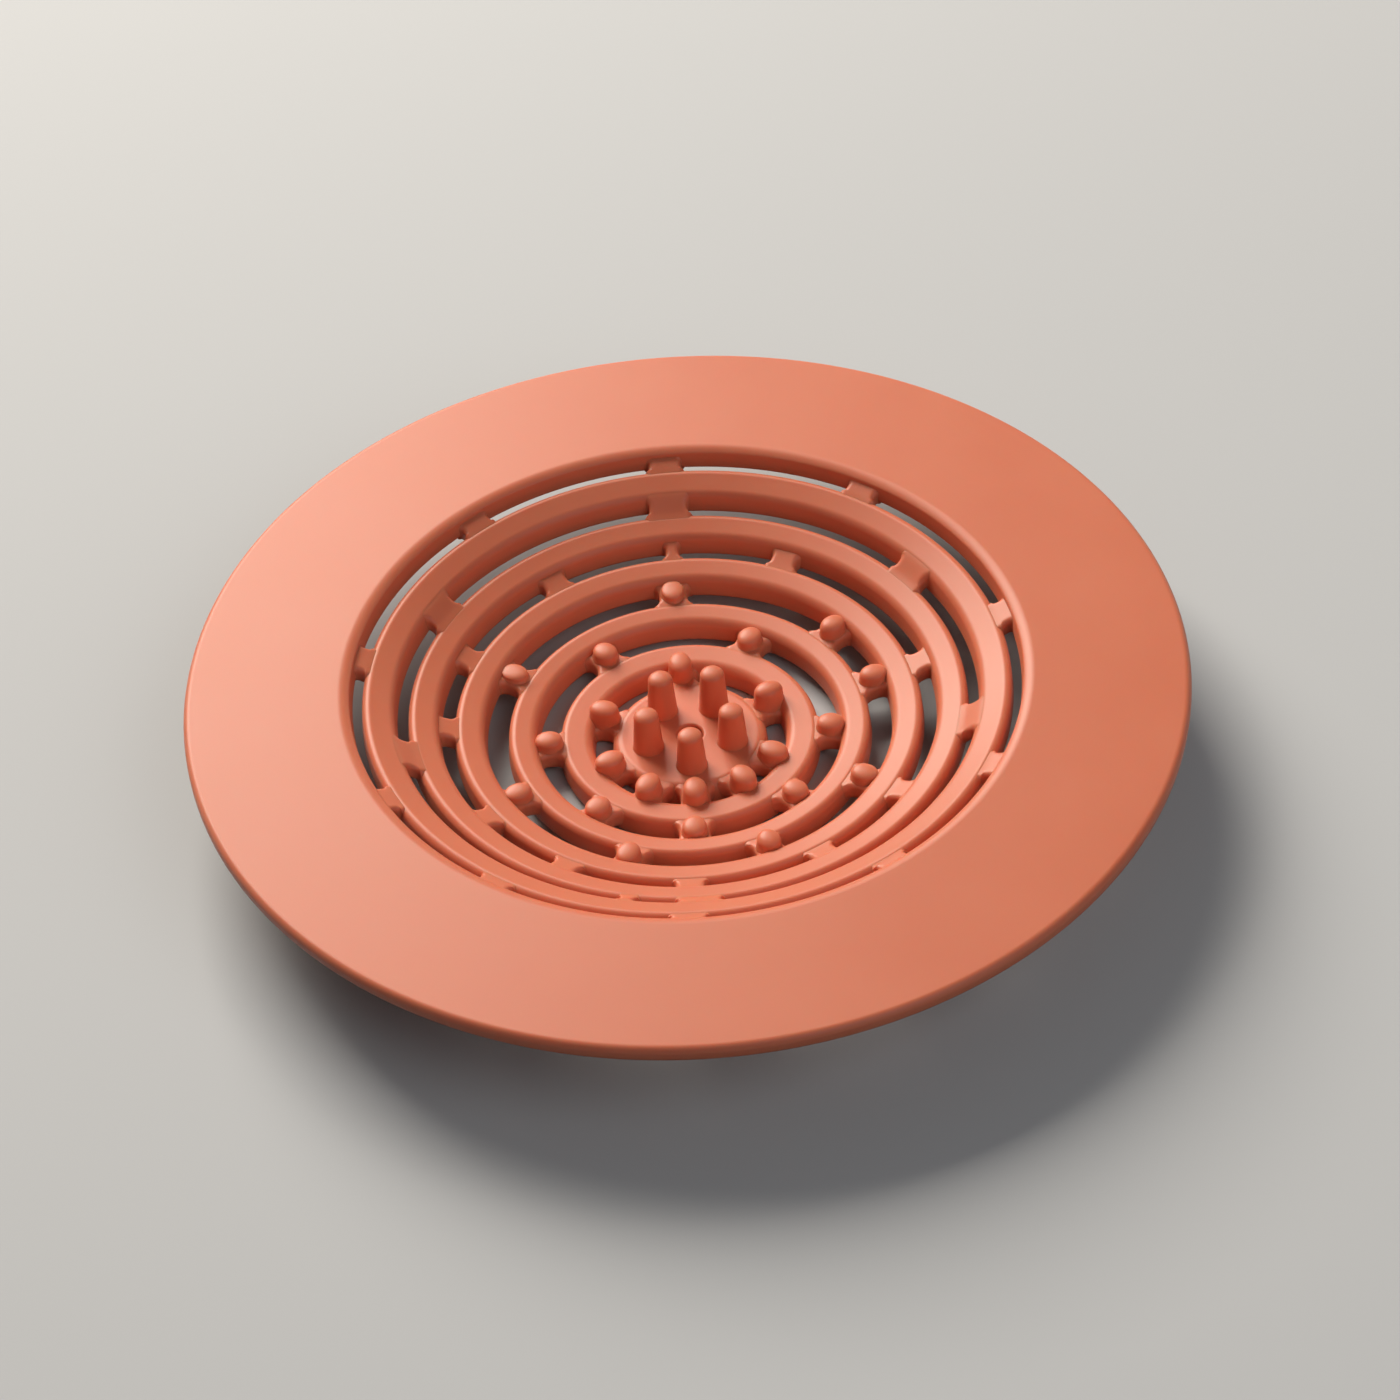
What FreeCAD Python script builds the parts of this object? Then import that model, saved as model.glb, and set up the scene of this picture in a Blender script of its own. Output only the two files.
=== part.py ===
import FreeCAD, Part
import math
import os

os.makedirs("parts", exist_ok=True)

# Driving dimensions, all in millimetres
brim_diameter = 114.0
brim_width = 18.0975
brim_thickness = 2.0
brim_edge_round = 0.75
lip_width = 2.2
lip_round = 2.0
lip_land = 0.15
lip_wall_height = 2.4
bowl_depth = 10.6
bowl_thickness = 2.8
ring_edge_round = 0.45
center_hole_diameter = 3.0

# Bowl layout as shares of the bowl's radius, rings counted from the outside in
ring_outer_shares = (0.937, 0.813, 0.683, 0.533, 0.373)
ring_inner_shares = (0.860, 0.739, 0.602, 0.454, 0.302)
disc_share = 0.226
flat_share = 0.180

# A ring's top falls inward by this share of the bowl's own fall, so the rings sit like steps
ring_fall_share = 0.7

# Slot walls lean by this angle, so that a slot is wider at the top
slot_draft_angle = 6.0

# Bridges across each row of slots, by the angle at which they stand in the row
bridge_angles = (
    (11.0, 53.5, 91.5, 129.5, 170.0, 206.0, 234.0, 268.0, 304.0, 332.5),
    (33.5, 91.5, 149.5, 192.5, 270.0, 347.5),
    (11.5, 63.0, 122.5, 156.0, 180.5, 213.0, 238.0, 268.0, 300.0, 327.0),
    (13.5, 38.0, 92.5, 154.0, 207.5, 250.0, 291.0, 330.5),
    (61.5, 125.0, 183.0, 228.0, 269.5, 315.0, 356.5),
    (25.5, 93.5, 159.5, 206.0, 240.5, 271.0, 303.5, 334.5),
)
narrow_bridge_angles = ((), (256.0,), (91.5,), (), (), ())
lip_bridge_width = 3.0
wide_bridge_width = 4.6
middle_bridge_width = 3.2
narrow_bridge_width = 1.6
bridge_drop_share = 0.165
bridge_flare_share = 0.22

# Nubs stand on the bridges of the three inner rows
outer_nub_height = 1.5
middle_nub_height = 1.7
inner_nub_height = 2.0
nub_fill_share = 0.94
nub_tip_share = 0.92
nub_margin = 0.1
dome_middle_share = math.sqrt(0.5)

# Pegs stand in a circle on the centre disc
peg_count = 5
peg_first_angle = 270.0
peg_base_diameter = 3.7
peg_tip_diameter = 2.7
peg_height = 5.7
peg_margin = 0.05

# How far cutting bodies run past what they cut
overrun = 1.0

# Derived places
brim_radius = brim_diameter / 2
bowl_radius = brim_radius - brim_width
flat_radius = bowl_radius * flat_share
disc_radius = bowl_radius * disc_share
floor_top = bowl_thickness
brim_top = floor_top + bowl_depth
brim_bottom = brim_top - brim_thickness
curve_run = bowl_radius - flat_radius
curve_radius = (curve_run ** 2 + bowl_depth ** 2) / (2 * bowl_depth)
draft_slope = math.tan(math.radians(slot_draft_angle))

# The lip's roll is tangent to the brim's flat top and to the bowl's curve
roll_center_height = brim_top - lip_round
roll_reach = curve_radius + lip_round
roll_rise = floor_top + curve_radius - roll_center_height
roll_center = flat_radius + math.sqrt(roll_reach ** 2 - roll_rise ** 2)
roll_end_share = curve_radius / roll_reach
roll_end = flat_radius + (roll_center - flat_radius) * roll_end_share
lip_inner_radius = roll_end - lip_land
lip_outer_radius = roll_center + lip_width

ring_outer_radii = [bowl_radius * share for share in ring_outer_shares]
ring_inner_radii = [bowl_radius * share for share in ring_inner_shares]
row_outer_radii = [lip_inner_radius] + ring_inner_radii
row_inner_radii = ring_outer_radii + [disc_radius]
plain_bridge_widths = (lip_bridge_width, wide_bridge_width, middle_bridge_width)
plain_rows = len(plain_bridge_widths)
nub_heights = (outer_nub_height, middle_nub_height, inner_nub_height)


def bowl_height(radius):
    run = max(radius - flat_radius, 0)
    return floor_top + curve_radius - math.sqrt(curve_radius ** 2 - run ** 2)


def ring_inner_height(index):
    outer_height = bowl_height(ring_outer_radii[index])
    fall = outer_height - bowl_height(ring_inner_radii[index])
    return outer_height - fall * ring_fall_share


def section_point(place):
    return FreeCAD.Vector(place[0], 0, place[1])


def plan_point(place):
    return FreeCAD.Vector(place[0], place[1], 0)


def line(start, end):
    return Part.makeLine(section_point(start), section_point(end))


def arc(start, middle, end):
    return Part.Arc(section_point(start), section_point(middle), section_point(end)).toShape()


def curve(height_at, start_radius, end_radius):
    middle_radius = (start_radius + end_radius) / 2
    places = [(radius, height_at(radius)) for radius in (start_radius, middle_radius, end_radius)]
    return arc(*places)


def closed_lines(corners):
    return [line(start, end) for start, end in zip(corners, corners[1:] + corners[:1])]


def turned(edges):
    face = Part.Face(Part.Wire(edges))
    return face.revolve(FreeCAD.Vector(0, 0, 0), FreeCAD.Vector(0, 0, 1), 360)


def round_circles(solid, places, size):
    edges = []
    for edge in solid.Edges:
        if not isinstance(edge.Curve, Part.Circle):
            continue
        here = (edge.Curve.Radius, edge.Curve.Center.z)
        if any(math.dist(here, place) < size / 10 for place in places):
            edges.append(edge)
    return solid.makeFillet(size, edges)


# A wall runs from a top edge down to the underside and leans into the slot
def outward_wall(radius, top, depth):
    return (radius, top), (radius + depth * draft_slope, top - depth)


def inward_wall(radius, top, depth):
    return (radius, top), (radius - depth * draft_slope, top - depth)


# The wall on the outer side of a row of slots: the lip's, or that of the ring around the row
def row_outer_wall(row):
    if row == 0:
        return inward_wall(lip_inner_radius, bowl_height(lip_inner_radius), lip_wall_height)
    around = row - 1
    return inward_wall(ring_inner_radii[around], ring_inner_height(around), bowl_thickness)


# The wall on the inner side of a row of slots: that of a ring, or the disc's
def row_inner_wall(row):
    radius = row_inner_radii[row]
    return outward_wall(radius, bowl_height(radius), bowl_thickness)


def down_wall(wall, share):
    top, foot = wall
    return top[0] + (foot[0] - top[0]) * share, top[1] + (foot[1] - top[1]) * share


def placed(shape, angle):
    copy = shape.copy()
    copy.rotate(FreeCAD.Vector(0, 0, 0), FreeCAD.Vector(0, 0, 1), angle)
    return copy


def brim():
    corners = [
        (lip_outer_radius, brim_bottom),
        (brim_radius, brim_bottom),
        (brim_radius, brim_top),
        (lip_outer_radius, brim_top),
    ]
    return round_circles(turned(closed_lines(corners)), corners[1:3], brim_edge_round)


def lip():
    top, foot = row_outer_wall(0)
    lean = math.asin((roll_center - flat_radius) / roll_reach) / 2
    roll_middle = (
        roll_center - lip_round * math.sin(lean),
        roll_center_height + lip_round * math.cos(lean),
    )
    roll_start = (roll_center, brim_top)
    roll_finish = (roll_end, bowl_height(roll_end))
    under_corner = (roll_center, brim_bottom)
    edges = [
        line((lip_outer_radius, brim_bottom), (lip_outer_radius, brim_top)),
        line((lip_outer_radius, brim_top), roll_start),
        arc(roll_start, roll_middle, roll_finish),
        curve(bowl_height, roll_end, lip_inner_radius),
        line(top, foot),
        line(foot, under_corner),
        line(under_corner, (lip_outer_radius, brim_bottom)),
    ]
    return turned(edges)


def ring(index):
    outer_top, outer_foot = row_inner_wall(index)
    inner_top, inner_foot = row_outer_wall(index + 1)
    corners = [inner_top, outer_top, outer_foot, inner_foot]
    return round_circles(turned(closed_lines(corners)), (outer_top, inner_top), ring_edge_round)


def disc():
    top, foot = row_inner_wall(len(ring_outer_radii))
    hole_radius = center_hole_diameter / 2
    edges = [
        line((hole_radius, 0), (hole_radius, floor_top)),
        line((hole_radius, floor_top), (flat_radius, floor_top)),
        curve(bowl_height, flat_radius, disc_radius),
        line(top, foot),
        line(foot, (flat_radius, 0)),
        line((flat_radius, 0), (hole_radius, 0)),
    ]
    return round_circles(turned(edges), (top,), ring_edge_round)


# The band of material that would fill a row of slots, its top a little below the rings
def row_band(row):
    outer_wall = row_outer_wall(row)
    inner_wall = row_inner_wall(row)
    corners = [
        down_wall(outer_wall, bridge_drop_share),
        outer_wall[1],
        inner_wall[1],
        down_wall(inner_wall, bridge_drop_share),
    ]
    return turned(closed_lines(corners))


def slot_width(row):
    return row_outer_radii[row] - row_inner_radii[row]


def row_middle(row):
    return (row_outer_radii[row] + row_inner_radii[row]) / 2


def nub_base_radius(row):
    return slot_width(row) * nub_fill_share / 2


def bridge_width(row):
    if row < plain_rows:
        return plain_bridge_widths[row]
    return 2 * (nub_base_radius(row) + nub_margin)


# Seen from above, a bridge is narrow in the middle and flares where it meets a ring
def bridge_outline(row, width):
    near = row_inner_radii[row]
    far = row_outer_radii[row]
    middle = row_middle(row)
    waist = width / 2
    root = waist + slot_width(row) * bridge_flare_share

    def bent(start, through, end):
        return Part.Arc(plan_point(start), plan_point(through), plan_point(end)).toShape()

    def end_lines(wall, end, side):
        places = ((wall, side), (end, side), (end, -side), (wall, -side))
        return Part.makePolygon([plan_point(place) for place in places]).Edges

    left = bent((near, root), (middle, waist), (far, root))
    right = bent((far, -root), (middle, -waist), (near, -root))
    far_lines = end_lines(far, far + overrun, root)
    near_lines = end_lines(near, near - overrun, -root)
    outline = Part.Wire([left] + far_lines + [right] + near_lines)
    return Part.Face(outline).extrude(FreeCAD.Vector(0, 0, brim_top))


def bridges(row):
    band = row_band(row)
    solids = []
    for angles, width in (
        (bridge_angles[row], bridge_width(row)),
        (narrow_bridge_angles[row], narrow_bridge_width),
    ):
        if not angles:
            continue
        bridge = band.common(bridge_outline(row, width)).Solids[0]
        solids.extend(placed(bridge, angle) for angle in angles)
    return Part.makeCompound(solids)


# A tapered post with a half-round tip
def post(base_radius, tip_radius, bottom, tip):
    shoulder = tip - tip_radius
    dome_run = tip_radius * dome_middle_share
    edges = [
        line((0, bottom), (base_radius, bottom)),
        line((base_radius, bottom), (tip_radius, shoulder)),
        arc((tip_radius, shoulder), (dome_run, shoulder + dome_run), (0, tip)),
        line((0, tip), (0, bottom)),
    ]
    return turned(edges)


# All that lies under the tops of a row's bridges
def under_bridges(row):
    outer_top = down_wall(row_outer_wall(row), bridge_drop_share)
    inner_top = down_wall(row_inner_wall(row), bridge_drop_share)
    corners = [inner_top, outer_top, (outer_top[0], -overrun), (inner_top[0], -overrun)]
    return turned(closed_lines(corners))


def nubs(row):
    base_radius = nub_base_radius(row)
    middle = row_middle(row)
    edge_heights = [wall[0][1] for wall in (row_outer_wall(row), row_inner_wall(row))]
    tip = sum(edge_heights) / len(edge_heights) + nub_heights[row - plain_rows]
    nub = post(base_radius, base_radius * nub_tip_share, 0, tip)
    nub.translate(FreeCAD.Vector(middle, 0, 0))
    nub = nub.cut(under_bridges(row))
    return Part.makeCompound([placed(nub, angle) for angle in bridge_angles[row]])


def pegs():
    base_radius = peg_base_diameter / 2
    peg = post(base_radius, peg_tip_diameter / 2, floor_top, floor_top + peg_height)
    peg.translate(FreeCAD.Vector(flat_radius - base_radius - peg_margin, 0, 0))
    step = 360 / peg_count
    angles = [peg_first_angle + step * index for index in range(peg_count)]
    return Part.makeCompound([placed(peg, angle) for angle in angles])


shapes = {"brim": brim(), "lip": lip(), "disc": disc(), "pegs": pegs()}
for index in range(len(ring_outer_radii)):
    shapes[f"ring_{index + 1}"] = ring(index)
for row in range(len(bridge_angles)):
    shapes[f"bridges_{row + 1}"] = bridges(row)
    if row >= plain_rows:
        shapes[f"nubs_{row + 1}"] = nubs(row)

for name, shape in shapes.items():
    shape.exportStep(f"parts/{name}.step")
    print(name, len(shape.Solids), shape.isValid(), round(shape.Volume, 1))
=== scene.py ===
import bmesh
import bpy
import math
from mathutils import Matrix, Vector


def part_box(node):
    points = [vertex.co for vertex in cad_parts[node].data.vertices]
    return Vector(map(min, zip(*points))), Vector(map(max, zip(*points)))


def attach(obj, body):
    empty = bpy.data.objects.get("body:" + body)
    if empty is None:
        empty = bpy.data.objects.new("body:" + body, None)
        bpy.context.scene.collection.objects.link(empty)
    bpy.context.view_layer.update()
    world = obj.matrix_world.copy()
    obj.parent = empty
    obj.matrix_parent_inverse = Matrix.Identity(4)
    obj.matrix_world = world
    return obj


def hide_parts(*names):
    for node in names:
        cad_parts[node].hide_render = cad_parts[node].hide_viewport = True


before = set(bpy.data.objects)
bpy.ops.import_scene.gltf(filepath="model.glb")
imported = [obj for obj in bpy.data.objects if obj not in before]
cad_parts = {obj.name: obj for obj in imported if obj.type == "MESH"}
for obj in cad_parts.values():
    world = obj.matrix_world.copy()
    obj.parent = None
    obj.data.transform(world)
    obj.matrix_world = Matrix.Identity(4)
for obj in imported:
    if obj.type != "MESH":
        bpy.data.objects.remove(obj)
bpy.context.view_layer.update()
mm = 0.001
print("frame loaded:", ", ".join(sorted(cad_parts)))


def linearColour(code):  # sRGB hex to linear RGBA
    parts = [int(code[i:i + 2], 16) / 255 for i in (1, 3, 5)]
    return [c / 12.92 if c <= 0.04045 else ((c + 0.055) / 1.055) ** 2.4 for c in parts] + [1.0]


def addNode(tree, kind, inputs=None, **settings):
    node = tree.nodes.new(kind)
    for name, value in settings.items():
        setattr(node, name, value)
    for socket, value in (inputs or {}).items():
        if isinstance(value, bpy.types.Node):
            value = value.outputs[0]
        if isinstance(value, bpy.types.NodeSocket):
            tree.links.new(value, node.inputs[socket])
        else:
            node.inputs[socket].default_value = value
    return node


def newObject(name, data):
    thing = bpy.data.objects.new(name, data)
    bpy.context.collection.objects.link(thing)
    return thing


def newTree(name, sizes):  # a Geometry Nodes tree: points, a finish and named sizes go in, a mesh comes out
    tree = bpy.data.node_groups.new(name, "GeometryNodeTree")
    kinds = {"Geometry": "NodeSocketGeometry", "Finish": "NodeSocketMaterial"}
    for label in [*kinds, *sizes]:
        tree.interface.new_socket(name=label, in_out="INPUT", socket_type=kinds.get(label, "NodeSocketFloat"))
    tree.interface.new_socket(name="Geometry", in_out="OUTPUT", socket_type=kinds["Geometry"])
    return tree, tree.nodes.new("NodeGroupInput").outputs


def shapedBy(name, mesh, tree, values):  # runs a tree over a mesh and keeps the result as a plain mesh
    source = newObject(name + "Source", mesh)
    modifier = source.modifiers.new("shape", "NODES")
    modifier.node_group = tree
    for item in tree.interface.items_tree:
        if item.in_out == "INPUT" and item.name in values:
            modifier[item.identifier] = values[item.name]
    graph = bpy.context.evaluated_depsgraph_get()
    result = bpy.data.meshes.new_from_object(source.evaluated_get(graph))
    source.modifiers.remove(modifier)
    bpy.data.objects.remove(source)
    return newObject(name, result)


# Sizes that all the pieces share, in metres
brimLow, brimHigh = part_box("brim")
bowl = {
    "brimRadius": brimHigh.x,
    "brimTop": brimHigh.z,
    "brimBottom": brimLow.z,
    "wall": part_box("disc")[1].z,  # the disc stands on the table
    "radiusShare": 0.6825,  # of the brim's radius
    "flatShare": 0.18,  # of the bowl's radius, as are the rings and the disc
    "lipRound": 2.0 * mm,
    "lipLand": 0.15 * mm,
    "lipWall": 2.4 * mm,
    "ringFallShare": 0.7,  # the rings sit like steps, flatter than the bowl itself
    "ringOuterShares": (0.948, 0.820, 0.688, 0.533, 0.381),
    "ringInnerShares": (0.860, 0.737, 0.605, 0.454, 0.289),
    "discShare": 0.226,
    "slotLean": math.tan(math.radians(6)),
}
brimRadius = bowl["brimRadius"]
brimTop = bowl["brimTop"]
wall = bowl["wall"]
bowlRadius = brimRadius * bowl["radiusShare"]
flatRadius = bowlRadius * bowl["flatShare"]
bowlDepth = brimTop - wall
curveRadius = ((bowlRadius - flatRadius) ** 2 + bowlDepth ** 2) / (2 * bowlDepth)
lipRound = bowl["lipRound"]
rollReach = curveRadius + lipRound
rollCentre = flatRadius + math.sqrt(rollReach ** 2 - (rollReach - bowlDepth) ** 2)
rollEnd = flatRadius + (rollCentre - flatRadius) * curveRadius / rollReach
lipInner = rollEnd - bowl["lipLand"]
ringOuters = [bowlRadius * share for share in bowl["ringOuterShares"]]
ringInners = [bowlRadius * share for share in bowl["ringInnerShares"]]
rowOuters = [lipInner] + ringInners
rowInners = ringOuters + [bowlRadius * bowl["discShare"]]


def bowlHeight(radius):
    run = max(radius - flatRadius, 0)
    return wall + curveRadius - math.sqrt(curveRadius ** 2 - run ** 2)


def ringInnerHeight(index):
    high = bowlHeight(ringOuters[index])
    return high - (high - bowlHeight(ringInners[index])) * bowl["ringFallShare"]


def ringSlope(index):
    return (rowInnerHeights[index] - rowOuterHeights[index + 1]) / (ringOuters[index] - ringInners[index])


rowOuterHeights = [bowlHeight(lipInner)] + [ringInnerHeight(i) for i in range(len(ringOuters))]
rowInnerHeights = [bowlHeight(radius) for radius in rowInners]
rimSlope = (bowlRadius - flatRadius) / (curveRadius - bowlDepth)
slopes = [rimSlope] + [ringSlope(i) for i in range(len(ringOuters))] + [0.0]  # the lip, the rings, the disc

turning = {
    "arcSteps": 6,  # flats in each rounded corner
    "besideArc": 0.12 * mm,  # extra points this far from the arcs, so that flat faces shade flat
    "longSide": 0.5 * mm,  # on sides longer than this
    "sharpAngle": math.radians(50),
}


def roundedLoop(corners):  # corners are (radius, height, rounding); arcs take the place of the rounded ones
    steps = turning["arcSteps"]
    points = []
    for before, here, after in zip(corners[-1:] + corners[:-1], corners, corners[1:] + corners[:1]):
        corner, rounding = Vector(here[:2]), here[2]
        if not rounding:
            points.append(corner)
            continue
        back = (Vector(before[:2]) - corner).normalized()
        on = (Vector(after[:2]) - corner).normalized()
        half = back.angle(on) / 2
        middle = corner + (back + on).normalized() * rounding / math.sin(half)
        start = corner + back * rounding / math.tan(half) - middle
        end = corner + on * rounding / math.tan(half) - middle
        points += [middle + start.lerp(end, i / steps).normalized() * rounding for i in range(steps + 1)]
    return points


def steadied(points):
    result = []
    for here, after in zip(points, points[1:] + points[:1]):
        result.append(here)
        length = (after - here).length
        if length > turning["longSide"]:
            step = (after - here) / length * turning["besideArc"]
            result += [here + step, after - step]
    return result


def turnedPiece(name, corners, nodes, segments):  # a closed outline turned about the axis
    outline = steadied(roundedLoop(corners))
    count = len(outline)
    turns = [2 * math.pi * i / segments for i in range(segments)]
    vertices = [(p.x * math.cos(a), p.x * math.sin(a), p.y) for a in turns for p in outline]
    faces = []
    for i in range(segments):
        here, after = i * count, (i + 1) % segments * count
        faces += [(here + j, here + (j + 1) % count, after + (j + 1) % count, after + j) for j in range(count)]
    mesh = bpy.data.meshes.new(name)
    mesh.from_pydata(vertices, [], faces)
    mesh.materials.append(silicone)
    finishPiece(newObject(name, mesh), nodes)


def finishPiece(piece, nodes):  # faces outwards, smooth, and into the frame
    shell = bmesh.new()
    shell.from_mesh(piece.data)
    bmesh.ops.recalc_face_normals(shell, faces=shell.faces)
    shell.to_mesh(piece.data)
    shell.free()
    piece.data.polygons.foreach_set("use_smooth", [True] * len(piece.data.polygons))
    piece.data.set_sharp_from_angle(angle=turning["sharpAngle"])
    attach(piece, "root")
    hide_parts(*nodes)
    print(piece.name, len(piece.data.polygons), "faces")


# Moulded silicone rubber: satin skin from a blasted mould, light soaks in and comes back redder
siliconeLook = {
    "tones": ("#D97757", "#DF8161"),
    "flowMarks": 14 * mm,  # faint clouds left by the flow in the mould
    "flowDetail": 3.0,
    "grain": 0.35 * mm,  # real blasted grain is finer, drawn at this size to show
    "grainDetail": 2.0,
    "grainDepth": 0.05 * mm,
    "grainStrength": 0.06,
    "roughness": (0.37, 0.43),
    "ior": 1.41,
    "soak": 0.5,
    "soakRadius": (1.0, 0.28, 0.14),  # red light goes deepest
    "soakScale": 0.9 * mm,
}


def mouldedSilicone():
    look = siliconeLook
    finish = bpy.data.materials.new("mouldedSiliconeCoral")
    finish.use_nodes = True
    tree = finish.node_tree
    tree.nodes.clear()
    place = addNode(tree, "ShaderNodeTexCoord").outputs["Object"]
    cloud = addNode(tree, "ShaderNodeTexNoise", {
        "Vector": place, "Scale": 1 / look["flowMarks"], "Detail": look["flowDetail"],
    }).outputs["Fac"]
    dark, light = [linearColour(code) for code in look["tones"]]
    tone = addNode(tree, "ShaderNodeMix", {0: cloud, 6: dark, 7: light}, data_type="RGBA")  # 6 and 7 are the colours
    grain = addNode(tree, "ShaderNodeTexNoise", {
        "Vector": place, "Scale": 1 / look["grain"], "Detail": look["grainDetail"],
    }).outputs["Fac"]
    bump = addNode(tree, "ShaderNodeBump", {
        "Strength": look["grainStrength"], "Distance": look["grainDepth"], "Height": grain,
    })
    smooth, coarse = look["roughness"]
    rough = addNode(tree, "ShaderNodeMapRange", {"Value": cloud, "To Min": smooth, "To Max": coarse})
    skin = addNode(tree, "ShaderNodeBsdfPrincipled", {
        "Base Color": tone.outputs[2], "Roughness": rough, "IOR": look["ior"], "Normal": bump,
        "Subsurface Weight": look["soak"], "Subsurface Radius": look["soakRadius"],
        "Subsurface Scale": look["soakScale"],
    })
    addNode(tree, "ShaderNodeOutputMaterial", {"Surface": skin})
    return finish


silicone = mouldedSilicone()
print("silicone mixed")

brim = {
    "edgeRound": 0.75 * mm,
    "lipEdgeRound": 0.3 * mm,
    "rollSteps": 14,
    "segments": 360,
}


def brimCorners():
    lean = math.asin((rollCentre - flatRadius) / rollReach)
    roll = []
    for i in range(brim["rollSteps"] + 1):
        angle = lean * i / brim["rollSteps"]
        roll.append((rollCentre - lipRound * math.sin(angle), brimTop - lipRound + lipRound * math.cos(angle), 0))
    foot = lipInner - bowl["lipWall"] * bowl["slotLean"]
    return [
        (brimRadius, bowl["brimBottom"], brim["edgeRound"]),
        (brimRadius, brimTop, brim["edgeRound"]),
        *roll,
        (lipInner, bowlHeight(lipInner), 0),
        (foot, bowlHeight(lipInner) - bowl["lipWall"], brim["lipEdgeRound"]),
        (rollCentre, bowl["brimBottom"], brim["lipEdgeRound"]),
    ]


turnedPiece("brimAndLip", brimCorners(), ("brim", "lip"), brim["segments"])

rings = {
    "outerRound": 0.75 * mm,  # outside edge that catches a line of light
    "innerRound": 1.1 * mm,  # soft roll down into the slot
    "footRound": 0.35 * mm,
    "segments": 256,
    "holeRadius": 1.5 * mm,
    "holeRound": 0.3 * mm,
    "discRound": 1.1 * mm,
}
footRun = wall * bowl["slotLean"]
for i in range(len(ringOuters)):
    outer, inner = ringOuters[i], ringInners[i]
    outerHeight, innerHeight = rowInnerHeights[i], rowOuterHeights[i + 1]
    turnedPiece(f"ring{i + 1}", [
        (inner, innerHeight, rings["innerRound"]),
        (outer, outerHeight, rings["outerRound"]),
        (outer + footRun, outerHeight - wall, rings["footRound"]),
        (inner - footRun, innerHeight - wall, rings["footRound"]),
    ], (f"ring_{i + 1}",), rings["segments"])
discRadius, discHeight = rowInners[-1], rowInnerHeights[-1]
turnedPiece("centreDisc", [
    (rings["holeRadius"], wall, rings["holeRound"]),
    (flatRadius, wall, 0),
    (discRadius, discHeight, rings["discRound"]),
    (discRadius + footRun, discHeight - wall, rings["footRound"]),
    (flatRadius, 0, 0),
    (rings["holeRadius"], 0, rings["holeRound"]),
], ("disc",), rings["segments"])


def pointsOnCircle(name, radius, height, angles, rises=None, length=1.0):  # each point keeps its copy's stretch
    turns = [math.radians(a) for a in angles]
    mesh = bpy.data.meshes.new(name)
    mesh.from_pydata([(radius * math.cos(a), radius * math.sin(a), height) for a in turns], [], [])
    stretch = [size for rise in rises or [1.0] * len(angles) for size in (length, 1.0, rise)]
    mesh.attributes.new("stretch", "FLOAT_VECTOR", "POINT").data.foreach_set("vector", stretch)
    return mesh


def placedOnPoints(tree, given, mesh):  # one copy on each point, turned to face out of the axis
    points = addNode(tree, "GeometryNodeMeshToPoints", {"Mesh": given["Geometry"]})
    place = addNode(tree, "GeometryNodeInputPosition")
    level = addNode(tree, "ShaderNodeVectorMath", {0: place, 1: (1, 1, 0)}, operation="MULTIPLY")
    turn = addNode(tree, "FunctionNodeAlignRotationToVector", {"Vector": level}, axis="X")
    stretch = addNode(tree, "GeometryNodeInputNamedAttribute", {"Name": "stretch"}, data_type="FLOAT_VECTOR")
    copies = addNode(tree, "GeometryNodeInstanceOnPoints", {
        "Points": points, "Instance": mesh, "Rotation": turn, "Scale": stretch,
    })
    real = addNode(tree, "GeometryNodeRealizeInstances", {"Geometry": copies})
    dressed = addNode(tree, "GeometryNodeSetMaterial", {"Geometry": real, "Material": given["Finish"]})
    addNode(tree, "NodeGroupOutput", {"Geometry": dressed})
    return tree


bridges = {
    "buried": 0.75 * mm,  # how far each end reaches into its ring
    "heightShare": 0.8,  # of the wall
    "edgeRound": 0.6 * mm,
    "freeShare": 0.9,  # of a bar's points lie across the slot, the rest are buried
    "barPoints": (33, 21, 17),  # along, across and up
    "mergeDistance": 0.001 * mm,
    # From the lip inwards. Drops below the rings' edges and widths are in mm, corners are shares of the slot's width,
    # and fall is how far the spread ends roll down. Each width of bar has the angles where such bars stand.
    "rows": (
        {"outerDrop": 0.6, "innerDrop": 0.15, "endRound": 0.75, "corner": 0.4, "fall": 0.7,
         "bars": {3.9: (11.0, 53.5, 91.5, 129.5, 170.0, 206.0, 234.0, 268.0, 304.0, 332.5)}},
        {"outerDrop": 0.02, "innerDrop": 0.0, "endRound": 0.75, "corner": 0.46, "fall": 0.8,
         "bars": {4.6: (33.5, 91.5, 149.5, 192.5, 270.0, 347.5), 1.6: (256.0,)}},
        {"outerDrop": 0.6, "innerDrop": 0.15, "endRound": 0.75, "corner": 0.42, "fall": 0.8,
         "bars": {3.2: (11.5, 63.0, 122.5, 156.0, 180.5, 213.0, 238.0, 268.0, 300.0, 327.0), 1.6: (91.5,)}},
        {"outerDrop": 0.75, "innerDrop": 0.08, "endRound": 0.78, "corner": 0.42, "fall": 0.8,
         "bars": {3.3: (13.5, 38.0, 92.5, 154.0, 207.5, 250.0, 291.0, 330.5)}},
        {"outerDrop": 0.75, "innerDrop": 0.08, "endRound": 0.78, "corner": 0.42, "fall": 0.8,
         "bars": {3.5: (61.5, 125.0, 183.0, 228.0, 269.5, 315.0, 356.5)}},
        {"outerDrop": 0.75, "innerDrop": 0.08, "endRound": 0.78, "corner": 0.42, "fall": 0.8,
         "bars": {3.4: (25.5, 93.5, 159.5, 206.0, 240.5, 271.0, 303.5, 334.5)}},
    ),
}


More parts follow.
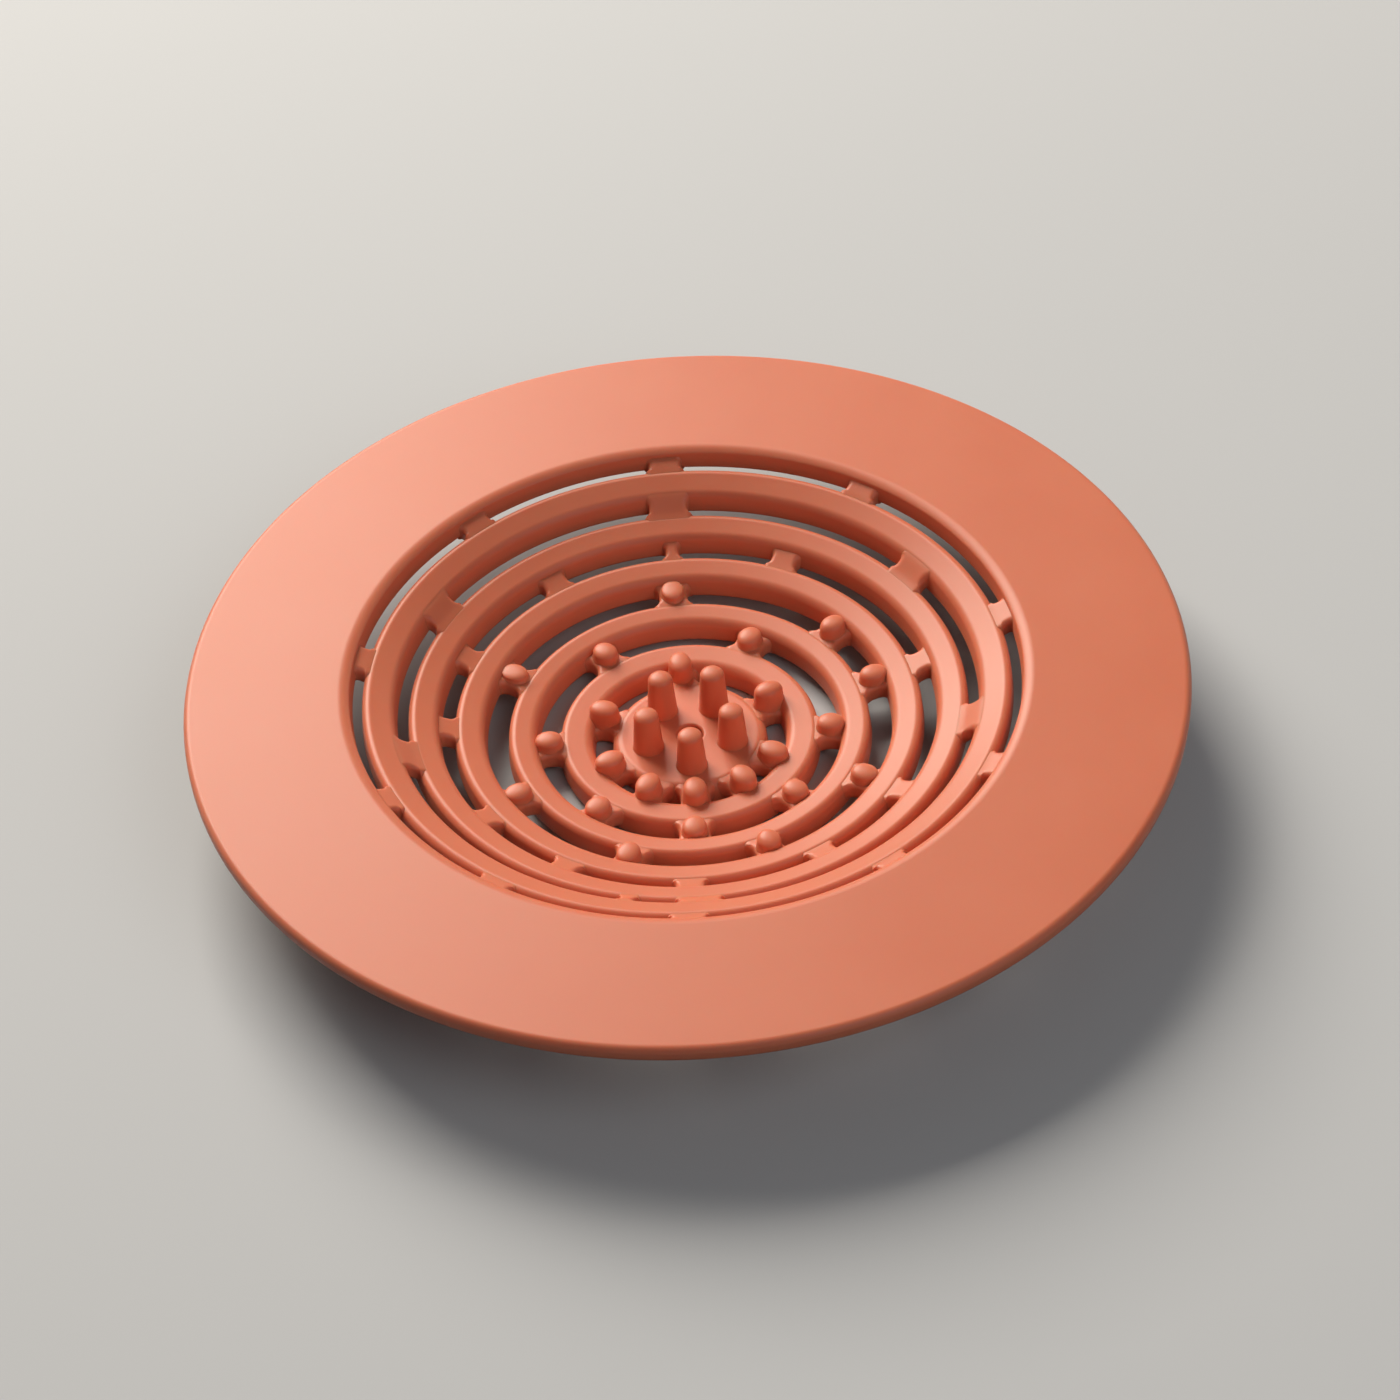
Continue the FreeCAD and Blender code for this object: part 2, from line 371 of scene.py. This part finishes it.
def bridgeTree():  # bars across a row of slots: rounded edges, sides that sweep into the rings
    tree, given = newTree("bridgeBars", [
        "Row radius", "Half slot", "Half waist", "Corner", "Buried", "Height",
        "Edge round", "End round", "Lean", "Curl", "Fall",
    ])
    pointsAlong, pointsAcross, pointsUp = bridges["barPoints"]
    block = addNode(tree, "GeometryNodeMeshCube", {
        "Size": (2, 2, 2), "Vertices X": pointsAlong, "Vertices Y": pointsAcross, "Vertices Z": pointsUp,
    })
    place = addNode(tree, "GeometryNodeInputPosition")
    axes = addNode(tree, "ShaderNodeSeparateXYZ", {0: place}).outputs

    # Along the bar: the free part from -1 to 1, then what is buried
    freeShare = bridges["freeShare"]
    along = addNode(tree, "ShaderNodeMath", {0: axes["X"], 1: 1 / freeShare}, operation="MULTIPLY")
    free = addNode(tree, "ShaderNodeClamp", {"Value": along, "Min": -1.0, "Max": 1.0})
    past = addNode(tree, "ShaderNodeMath", {0: along, 1: free}, operation="SUBTRACT")
    past = addNode(tree, "ShaderNodeMath", {0: past, 1: freeShare / (1 - freeShare)}, operation="MULTIPLY")
    angle = addNode(tree, "ShaderNodeMath", {0: free, 1: math.pi / 2}, operation="MULTIPLY")
    run = addNode(tree, "ShaderNodeMath", {0: angle}, operation="SINE")
    run = addNode(tree, "ShaderNodeMath", {0: run, 1: given["Half slot"]}, operation="MULTIPLY")

    # Half the width from above: straight at the waist, round towards the rings
    size = addNode(tree, "ShaderNodeMath", {0: run}, operation="ABSOLUTE")
    straight = addNode(tree, "ShaderNodeMath", {0: given["Half slot"], 1: given["Corner"]}, operation="SUBTRACT")
    bend = addNode(tree, "ShaderNodeMath", {0: size, 1: straight}, operation="SUBTRACT")
    bend = addNode(tree, "ShaderNodeMath", {0: bend, 1: 0.0}, operation="MAXIMUM")
    bendSquare = addNode(tree, "ShaderNodeMath", {0: bend, 1: bend}, operation="MULTIPLY")
    cornerSquare = addNode(tree, "ShaderNodeMath", {0: given["Corner"], 1: given["Corner"]}, operation="MULTIPLY")
    sweep = addNode(tree, "ShaderNodeMath", {0: cornerSquare, 1: bendSquare}, operation="SUBTRACT")
    sweep = addNode(tree, "ShaderNodeMath", {0: sweep, 1: 0.0}, operation="MAXIMUM")
    sweep = addNode(tree, "ShaderNodeMath", {0: sweep}, operation="SQRT")
    halfWidth = addNode(tree, "ShaderNodeMath", {0: given["Half waist"], 1: given["Corner"]}, operation="ADD")
    halfWidth = addNode(tree, "ShaderNodeMath", {0: halfWidth, 1: sweep}, operation="SUBTRACT")

    # Section with round edges, rounder towards the ends
    nearEnd = addNode(tree, "ShaderNodeMath", {0: size, 1: given["Half slot"]}, operation="DIVIDE")
    nearEnd = addNode(tree, "ShaderNodeMath", {0: nearEnd, 1: nearEnd}, operation="MULTIPLY")
    edge = addNode(tree, "ShaderNodeMix", {0: nearEnd, 2: given["Edge round"], 3: given["End round"]})
    across = addNode(tree, "ShaderNodeMath", {0: axes["Y"], 1: halfWidth}, operation="MULTIPLY")
    halfHeight = addNode(tree, "ShaderNodeMath", {0: given["Height"], 1: 0.5}, operation="MULTIPLY")
    upright = addNode(tree, "ShaderNodeMath", {0: axes["Z"], 1: halfHeight}, operation="MULTIPLY")
    flatWidth = addNode(tree, "ShaderNodeMath", {0: halfWidth, 1: edge}, operation="SUBTRACT")
    flatHeight = addNode(tree, "ShaderNodeMath", {0: halfHeight, 1: edge}, operation="SUBTRACT")
    lowWidth = addNode(tree, "ShaderNodeMath", {0: flatWidth, 1: -1.0}, operation="MULTIPLY")
    lowHeight = addNode(tree, "ShaderNodeMath", {0: flatHeight, 1: -1.0}, operation="MULTIPLY")
    coreAcross = addNode(tree, "ShaderNodeClamp", {"Value": across, "Min": lowWidth, "Max": flatWidth})
    coreUpright = addNode(tree, "ShaderNodeClamp", {"Value": upright, "Min": lowHeight, "Max": flatHeight})
    core = addNode(tree, "ShaderNodeCombineXYZ", {"Y": coreAcross, "Z": coreUpright})
    full = addNode(tree, "ShaderNodeCombineXYZ", {"Y": across, "Z": upright})
    rim = addNode(tree, "ShaderNodeVectorMath", {0: full, 1: core}, operation="SUBTRACT")
    rimSize = addNode(tree, "ShaderNodeVectorMath", {0: rim}, operation="LENGTH").outputs["Value"]
    rimSize = addNode(tree, "ShaderNodeMath", {0: rimSize, 1: edge}, operation="MINIMUM")
    rim = addNode(tree, "ShaderNodeVectorMath", {0: rim}, operation="NORMALIZE")
    rim = addNode(tree, "ShaderNodeVectorMath", {0: rim, "Scale": rimSize}, operation="SCALE")
    section = addNode(tree, "ShaderNodeVectorMath", {0: core, 1: rim}, operation="ADD")
    sectionAxes = addNode(tree, "ShaderNodeSeparateXYZ", {0: section}).outputs

    # Bent round the axis
    run = addNode(tree, "ShaderNodeMath", {0: past, 1: given["Buried"], 2: run}, operation="MULTIPLY_ADD")
    radius = addNode(tree, "ShaderNodeMath", {0: given["Row radius"], 1: run}, operation="ADD")
    swing = addNode(tree, "ShaderNodeMath", {0: sectionAxes["Y"], 1: radius}, operation="DIVIDE")
    cosine = addNode(tree, "ShaderNodeMath", {0: swing}, operation="COSINE")
    sine = addNode(tree, "ShaderNodeMath", {0: swing}, operation="SINE")
    x = addNode(tree, "ShaderNodeMath", {0: radius, 1: cosine}, operation="MULTIPLY")
    x = addNode(tree, "ShaderNodeMath", {0: x, 1: given["Row radius"]}, operation="SUBTRACT")
    y = addNode(tree, "ShaderNodeMath", {0: radius, 1: sine}, operation="MULTIPLY")

    # The top runs on from ring to ring
    reach = addNode(tree, "ShaderNodeMath", {0: given["Half slot"], 1: given["Buried"]}, operation="ADD")
    share = addNode(tree, "ShaderNodeMath", {0: run, 1: reach}, operation="DIVIDE")
    shareSquare = addNode(tree, "ShaderNodeMath", {0: share, 1: share}, operation="MULTIPLY")
    rise = addNode(tree, "ShaderNodeMath", {
        0: shareSquare, 1: given["Curl"], 2: given["Lean"],
    }, operation="MULTIPLY_ADD")
    z = addNode(tree, "ShaderNodeMath", {0: sectionAxes["Z"], 1: halfHeight}, operation="SUBTRACT")
    z = addNode(tree, "ShaderNodeMath", {0: share, 1: rise, 2: z}, operation="MULTIPLY_ADD")

    # The spread ends roll down into the slot's rim
    spread = addNode(tree, "ShaderNodeMath", {0: sectionAxes["Y"]}, operation="ABSOLUTE")
    spread = addNode(tree, "ShaderNodeMath", {0: spread, 1: given["Half waist"]}, operation="SUBTRACT")
    spread = addNode(tree, "ShaderNodeMath", {0: spread, 1: 0.0}, operation="MAXIMUM")
    fall = addNode(tree, "ShaderNodeMath", {0: spread, 1: given["Corner"]}, operation="DIVIDE")
    fall = addNode(tree, "ShaderNodeMath", {0: fall, 1: given["Fall"]}, operation="MULTIPLY")
    fall = addNode(tree, "ShaderNodeMath", {0: fall, 1: spread}, operation="MULTIPLY")
    level = addNode(tree, "ShaderNodeMath", {0: axes["Z"], 1: 0.5, 2: 0.5}, operation="MULTIPLY_ADD")  # 1 on top
    fall = addNode(tree, "ShaderNodeMath", {0: fall, 1: level}, operation="MULTIPLY")
    z = addNode(tree, "ShaderNodeMath", {0: z, 1: fall}, operation="SUBTRACT")

    shape = addNode(tree, "ShaderNodeCombineXYZ", {"X": x, "Y": y, "Z": z})
    bar = addNode(tree, "GeometryNodeSetPosition", {"Geometry": block.outputs["Mesh"], "Position": shape})
    bar = addNode(tree, "GeometryNodeMergeByDistance", {"Geometry": bar, "Distance": bridges["mergeDistance"]})
    return placedOnPoints(tree, given, bar)


def barTops(index):  # heights of the tops at a bar's two buried ends, outer and inner
    row, buried = bridges["rows"][index], bridges["buried"]
    outerTop = rowOuterHeights[index] + slopes[index] * buried - row["outerDrop"] * mm
    innerTop = rowInnerHeights[index] - slopes[index + 1] * buried - row["innerDrop"] * mm
    return outerTop, innerTop


barTree = bridgeTree()
for index, row in enumerate(bridges["rows"]):
    middle = (rowOuters[index] + rowInners[index]) / 2
    slot = rowOuters[index] - rowInners[index]
    outerTop, innerTop = barTops(index)
    endSlope = (slopes[index] + slopes[index + 1]) / 2
    halfDrop = (outerTop - innerTop) / 2
    curl = (endSlope * (slot / 2 + bridges["buried"]) - halfDrop) / 2
    for width, angles in row["bars"].items():
        name = f"bridges{index + 1}" if len(angles) > 1 else f"narrowBridge{index + 1}"
        points = pointsOnCircle(name + "Points", middle, (outerTop + innerTop) / 2, angles)
        piece = shapedBy(name, points, barTree, {
            "Finish": silicone, "Row radius": middle, "Half slot": slot / 2, "Half waist": width * mm / 2,
            "Corner": slot * row["corner"], "Buried": bridges["buried"], "Height": wall * bridges["heightShare"],
            "Edge round": bridges["edgeRound"], "End round": row["endRound"] * mm,
            "Lean": halfDrop - curl, "Curl": curl, "Fall": row["fall"],
        })
        finishPiece(piece, (f"bridges_{index + 1}",))

posts = {
    "nubs": (  # mm, rows counted from 0 at the lip; a rise is a nub's own share of the height
        {"row": 3, "radius": 1.5, "tip": 1.32, "dome": 0.72, "height": 1.3, "length": 1.2, "outward": 0.1,
         "rises": (1.0, 1.2, 0.55, 0.55, 0.9, 1.0, 1.4, 1.0)},
        {"row": 4, "radius": 1.55, "tip": 1.38, "dome": 0.78, "height": 1.4, "length": 1.15, "outward": 0.0,
         "rises": (1.0, 1.0, 0.95, 1.0, 1.0, 1.05, 1.0)},
        {"row": 5, "radius": 1.6, "tip": 1.34, "dome": 0.85, "height": 2.35, "length": 1.3, "outward": 0.4,
         "rises": (1.2, 1.08, 0.95, 0.85, 0.95, 1.04, 0.95, 0.75)},
    ),
    "pegs": {"radius": 1.85, "tip": 1.42, "dome": 0.85, "height": 5.7, "length": 1.0, "margin": 0.05,
             "angles": (270, 342, 54, 126, 198), "rises": (0.9, 0.9, 1.03, 0.98, 0.94)},
    "domePower": 0.82,  # under 1 gives flatter tips
    "rootFlare": 0.08 * mm,
    "rootHeight": 0.4 * mm,
    "sink": 1.2 * mm,  # how far the root reaches down into the bar or the disc
    "sides": 32,
    "steps": 40,  # half of them in the dome
    "mergeDistance": 0.004 * mm,
}


def postTree():  # tapered posts with a domed tip and a flared root
    tree, given = newTree("domedPosts", [
        "Base radius", "Tip radius", "Dome", "Dome power", "Height", "Root flare", "Root height", "Sink", "Slope",
    ])
    tube = addNode(tree, "GeometryNodeMeshCylinder", {
        "Vertices": posts["sides"], "Side Segments": posts["steps"], "Radius": 1.0, "Depth": 1.0,
    }, fill_type="TRIANGLE_FAN")
    place = addNode(tree, "GeometryNodeInputPosition")
    axes = addNode(tree, "ShaderNodeSeparateXYZ", {0: place}).outputs

    # The lower half of the tube becomes the body, the upper half the dome
    along = addNode(tree, "ShaderNodeMath", {0: axes["Z"], 1: 0.5}, operation="ADD")
    body = addNode(tree, "ShaderNodeMath", {0: along, 1: 2.0}, operation="MULTIPLY", use_clamp=True)
    dome = addNode(tree, "ShaderNodeMath", {0: along, 1: 2.0, 2: -1.0}, operation="MULTIPLY_ADD", use_clamp=True)
    lean = addNode(tree, "ShaderNodeMath", {0: dome, 1: math.pi / 2}, operation="MULTIPLY")
    sine = addNode(tree, "ShaderNodeMath", {0: lean}, operation="SINE")
    sine = addNode(tree, "ShaderNodeMath", {0: sine, 1: given["Dome power"]}, operation="POWER")
    cosine = addNode(tree, "ShaderNodeMath", {0: lean}, operation="COSINE")
    cosine = addNode(tree, "ShaderNodeMath", {0: cosine, 1: 0.0}, operation="MAXIMUM")
    cosine = addNode(tree, "ShaderNodeMath", {0: cosine, 1: given["Dome power"]}, operation="POWER")
    shoulder = addNode(tree, "ShaderNodeMath", {0: given["Height"], 1: given["Dome"]}, operation="SUBTRACT")
    reach = addNode(tree, "ShaderNodeMath", {0: shoulder, 1: given["Sink"]}, operation="ADD")
    z = addNode(tree, "ShaderNodeMath", {0: body, 1: reach}, operation="MULTIPLY")
    z = addNode(tree, "ShaderNodeMath", {0: z, 1: given["Sink"]}, operation="SUBTRACT")
    z = addNode(tree, "ShaderNodeMath", {0: sine, 1: given["Dome"], 2: z}, operation="MULTIPLY_ADD")

    # Tapered, and wider at the root
    radius = addNode(tree, "ShaderNodeMix", {0: body, 2: given["Base radius"], 3: given["Tip radius"]})
    radius = addNode(tree, "ShaderNodeMath", {0: radius, 1: cosine}, operation="MULTIPLY")
    root = addNode(tree, "ShaderNodeMath", {0: z, 1: given["Root height"]}, operation="DIVIDE", use_clamp=True)
    root = addNode(tree, "ShaderNodeMath", {0: 1.0, 1: root}, operation="SUBTRACT")
    root = addNode(tree, "ShaderNodeMath", {0: root, 1: 2.0}, operation="POWER")
    radius = addNode(tree, "ShaderNodeMath", {0: root, 1: given["Root flare"], 2: radius}, operation="MULTIPLY_ADD")
    x = addNode(tree, "ShaderNodeMath", {0: axes["X"], 1: radius}, operation="MULTIPLY")
    y = addNode(tree, "ShaderNodeMath", {0: axes["Y"], 1: radius}, operation="MULTIPLY")

    # The root follows the bowl, the tip stays upright
    follow = addNode(tree, "ShaderNodeMath", {0: z, 1: given["Height"]}, operation="DIVIDE", use_clamp=True)
    follow = addNode(tree, "ShaderNodeMath", {0: 1.0, 1: follow}, operation="SUBTRACT")
    follow = addNode(tree, "ShaderNodeMath", {0: follow, 1: given["Slope"]}, operation="MULTIPLY")
    z = addNode(tree, "ShaderNodeMath", {0: x, 1: follow, 2: z}, operation="MULTIPLY_ADD")

    shape = addNode(tree, "ShaderNodeCombineXYZ", {"X": x, "Y": y, "Z": z})
    post = addNode(tree, "GeometryNodeSetPosition", {"Geometry": tube.outputs["Mesh"], "Position": shape})
    post = addNode(tree, "GeometryNodeMergeByDistance", {"Geometry": post, "Distance": posts["mergeDistance"]})
    return placedOnPoints(tree, given, post)


domedTree = postTree()


def addPosts(name, node, sizes, radius, height, slope, angles):
    points = pointsOnCircle(name + "Points", radius, height, angles, sizes["rises"], sizes["length"])
    piece = shapedBy(name, points, domedTree, {
        "Finish": silicone, "Base radius": sizes["radius"] * mm, "Tip radius": sizes["tip"] * mm,
        "Dome": sizes["dome"] * mm, "Dome power": posts["domePower"], "Height": sizes["height"] * mm,
        "Root flare": posts["rootFlare"], "Root height": posts["rootHeight"], "Sink": posts["sink"], "Slope": slope,
    })
    finishPiece(piece, (node,))


for nubs in posts["nubs"]:
    index = nubs["row"]
    outer, inner = rowOuters[index], rowInners[index]
    outerTop, innerTop = barTops(index)
    slope = (outerTop - innerTop) / (outer - inner)
    outward = nubs["outward"] * mm
    radius = (outer + inner) / 2 + outward
    height = (outerTop + innerTop) / 2 + slope * outward
    angles = [a for group in bridges["rows"][index]["bars"].values() for a in group]
    addPosts(f"nubs{index + 1}", f"nubs_{index + 1}", nubs, radius, height, slope, angles)
pegs = posts["pegs"]
pegCircle = flatRadius - (pegs["radius"] + pegs["margin"]) * mm
addPosts("centrePegs", "pegs", pegs, pegCircle, wall, 0.0, pegs["angles"])

# Floor, light and camera
studio = {
    "floor": "#CED0D3",
    "bounce": "#5A5A5C",  # what the floor throws back at the object
    "floorHalf": 1.5,
    "horizon": "#C4C4C2",
    "fadeStart": 0.25,  # distances from the axis where the paper runs into the backdrop
    "fadeEnd": 1.3,
    "backdropFoot": 0.2,  # sines of the backdrop's heights above the horizon
    "backdropTop": 0.5,
    "key": {"place": (-0.35, 0.717, 0.598), "size": 0.6, "power": 13.8, "colour": "#FFF7EA"},
    "fill": {"place": (0.45, -0.5, 0.58), "size": 0.7, "power": 1.7, "colour": "#FFFFFF"},
    "world": 0.08,
}


def backdropPaper():  # matt paper, pale to the eye and darker to the light that it throws back
    paper = bpy.data.materials.new("backdropPaper")
    paper.use_nodes = True
    tree = paper.node_tree
    tree.nodes.clear()
    rays = addNode(tree, "ShaderNodeLightPath").outputs
    seen = addNode(tree, "ShaderNodeMath", {0: rays["Is Camera Ray"], 1: rays["Is Glossy Ray"]})
    seen = addNode(tree, "ShaderNodeMath", {0: seen, 1: rays["Is Transmission Ray"]}, use_clamp=True)
    bounce, pale = linearColour(studio["bounce"]), linearColour(studio["floor"])
    tone = addNode(tree, "ShaderNodeMix", {0: seen, 6: bounce, 7: pale}, data_type="RGBA")
    near = addNode(tree, "ShaderNodeBsdfDiffuse", {"Color": tone.outputs[2]})
    place = addNode(tree, "ShaderNodeTexCoord").outputs["Object"]
    away = addNode(tree, "ShaderNodeVectorMath", {0: place}, operation="LENGTH").outputs["Value"]
    far = addNode(tree, "ShaderNodeMapRange", {
        "Value": away, "From Min": studio["fadeStart"], "From Max": studio["fadeEnd"],
    }, interpolation_type="SMOOTHSTEP")
    far = addNode(tree, "ShaderNodeMath", {0: far, 1: seen}, operation="MULTIPLY")
    haze = addNode(tree, "ShaderNodeEmission", {"Color": linearColour(studio["horizon"])})
    sheet = addNode(tree, "ShaderNodeMixShader", {0: far, 1: near, 2: haze})  # far paper runs into the backdrop
    addNode(tree, "ShaderNodeOutputMaterial", {"Surface": sheet})
    paper.cycles.emission_sampling = "NONE"  # it is seen, and lights nothing
    return paper


def studioFloor():
    half = studio["floorHalf"]
    mesh = bpy.data.meshes.new("studioFloor")
    mesh.from_pydata([(-half, -half, 0), (half, -half, 0), (half, half, 0), (-half, half, 0)], [], [(0, 1, 2, 3)])
    mesh.materials.append(backdropPaper())
    floor = newObject("studioFloor", mesh)


def studioWorld():  # dim all round, with a pale backdrop that is seen, low down in reflections, and lights nothing
    world = bpy.data.worlds.new("studioWorld")
    world.use_nodes = True
    tree = world.node_tree
    tree.nodes.clear()
    way = addNode(tree, "ShaderNodeTexCoord").outputs["Generated"]
    height = addNode(tree, "ShaderNodeSeparateXYZ", {0: way}).outputs["Z"]
    low = addNode(tree, "ShaderNodeMapRange", {
        "Value": height, "From Min": studio["backdropTop"], "From Max": studio["backdropFoot"],
    }, interpolation_type="SMOOTHSTEP")
    rays = addNode(tree, "ShaderNodeLightPath").outputs
    mirrored = addNode(tree, "ShaderNodeMath", {0: rays["Is Glossy Ray"], 1: rays["Is Transmission Ray"]})
    share = addNode(tree, "ShaderNodeMath", {
        0: low, 1: mirrored, 2: rays["Is Camera Ray"],
    }, operation="MULTIPLY_ADD", use_clamp=True)
    dim = addNode(tree, "ShaderNodeBackground", {"Color": linearColour("#FFFFFF"), "Strength": studio["world"]})
    pale = addNode(tree, "ShaderNodeBackground", {"Color": linearColour(studio["horizon"])})
    both = addNode(tree, "ShaderNodeMixShader", {0: share, 1: dim, 2: pale})
    addNode(tree, "ShaderNodeOutputWorld", {"Surface": both})
    bpy.context.scene.world = world


def softLamp(name, lamp):
    light = bpy.data.lights.new(name, "AREA")
    light.size = lamp["size"]
    light.energy = lamp["power"]
    light.color = linearColour(lamp["colour"])[:3]
    holder = newObject(name, light)
    holder.location = lamp["place"]
    holder.rotation_euler = (-Vector(lamp["place"])).to_track_quat("-Z", "Y").to_euler()


shot = {
    "elevation": 43.74,  # degrees, as is the roll
    "roll": -3.865,
    "distance": 7.0878 * brimRadius,
    "aim": (0.025 * brimRadius, -0.09775 * brimRadius, brimTop),
    "focalPixels": 3600,
    "imagePixels": 1400,
    "sensorWidth": 36,
    "clipStart": 0.01,
}


def photoCamera():
    tilt = math.radians(shot["elevation"])
    back = Vector((0, -math.cos(tilt), math.sin(tilt)))
    right = Vector((1, 0, 0))
    up = back.cross(right)
    roll = math.radians(shot["roll"])
    right, up = math.cos(roll) * right + math.sin(roll) * up, math.cos(roll) * up - math.sin(roll) * right
    lens = bpy.data.cameras.new("photoCamera")
    lens.sensor_width = shot["sensorWidth"]
    lens.lens = shot["focalPixels"] * shot["sensorWidth"] / shot["imagePixels"]
    lens.clip_start = shot["clipStart"]
    holder = newObject("photoCamera", lens)
    turn = Matrix((right, up, back)).transposed().to_4x4()
    holder.matrix_world = Matrix.Translation(Vector(shot["aim"]) + back * shot["distance"]) @ turn
    bpy.context.scene.camera = holder


studioFloor()
studioWorld()
softLamp("keyLamp", studio["key"])
softLamp("fillLamp", studio["fill"])
photoCamera()
bpy.context.scene.view_settings.view_transform = "Standard"
print("studio set")
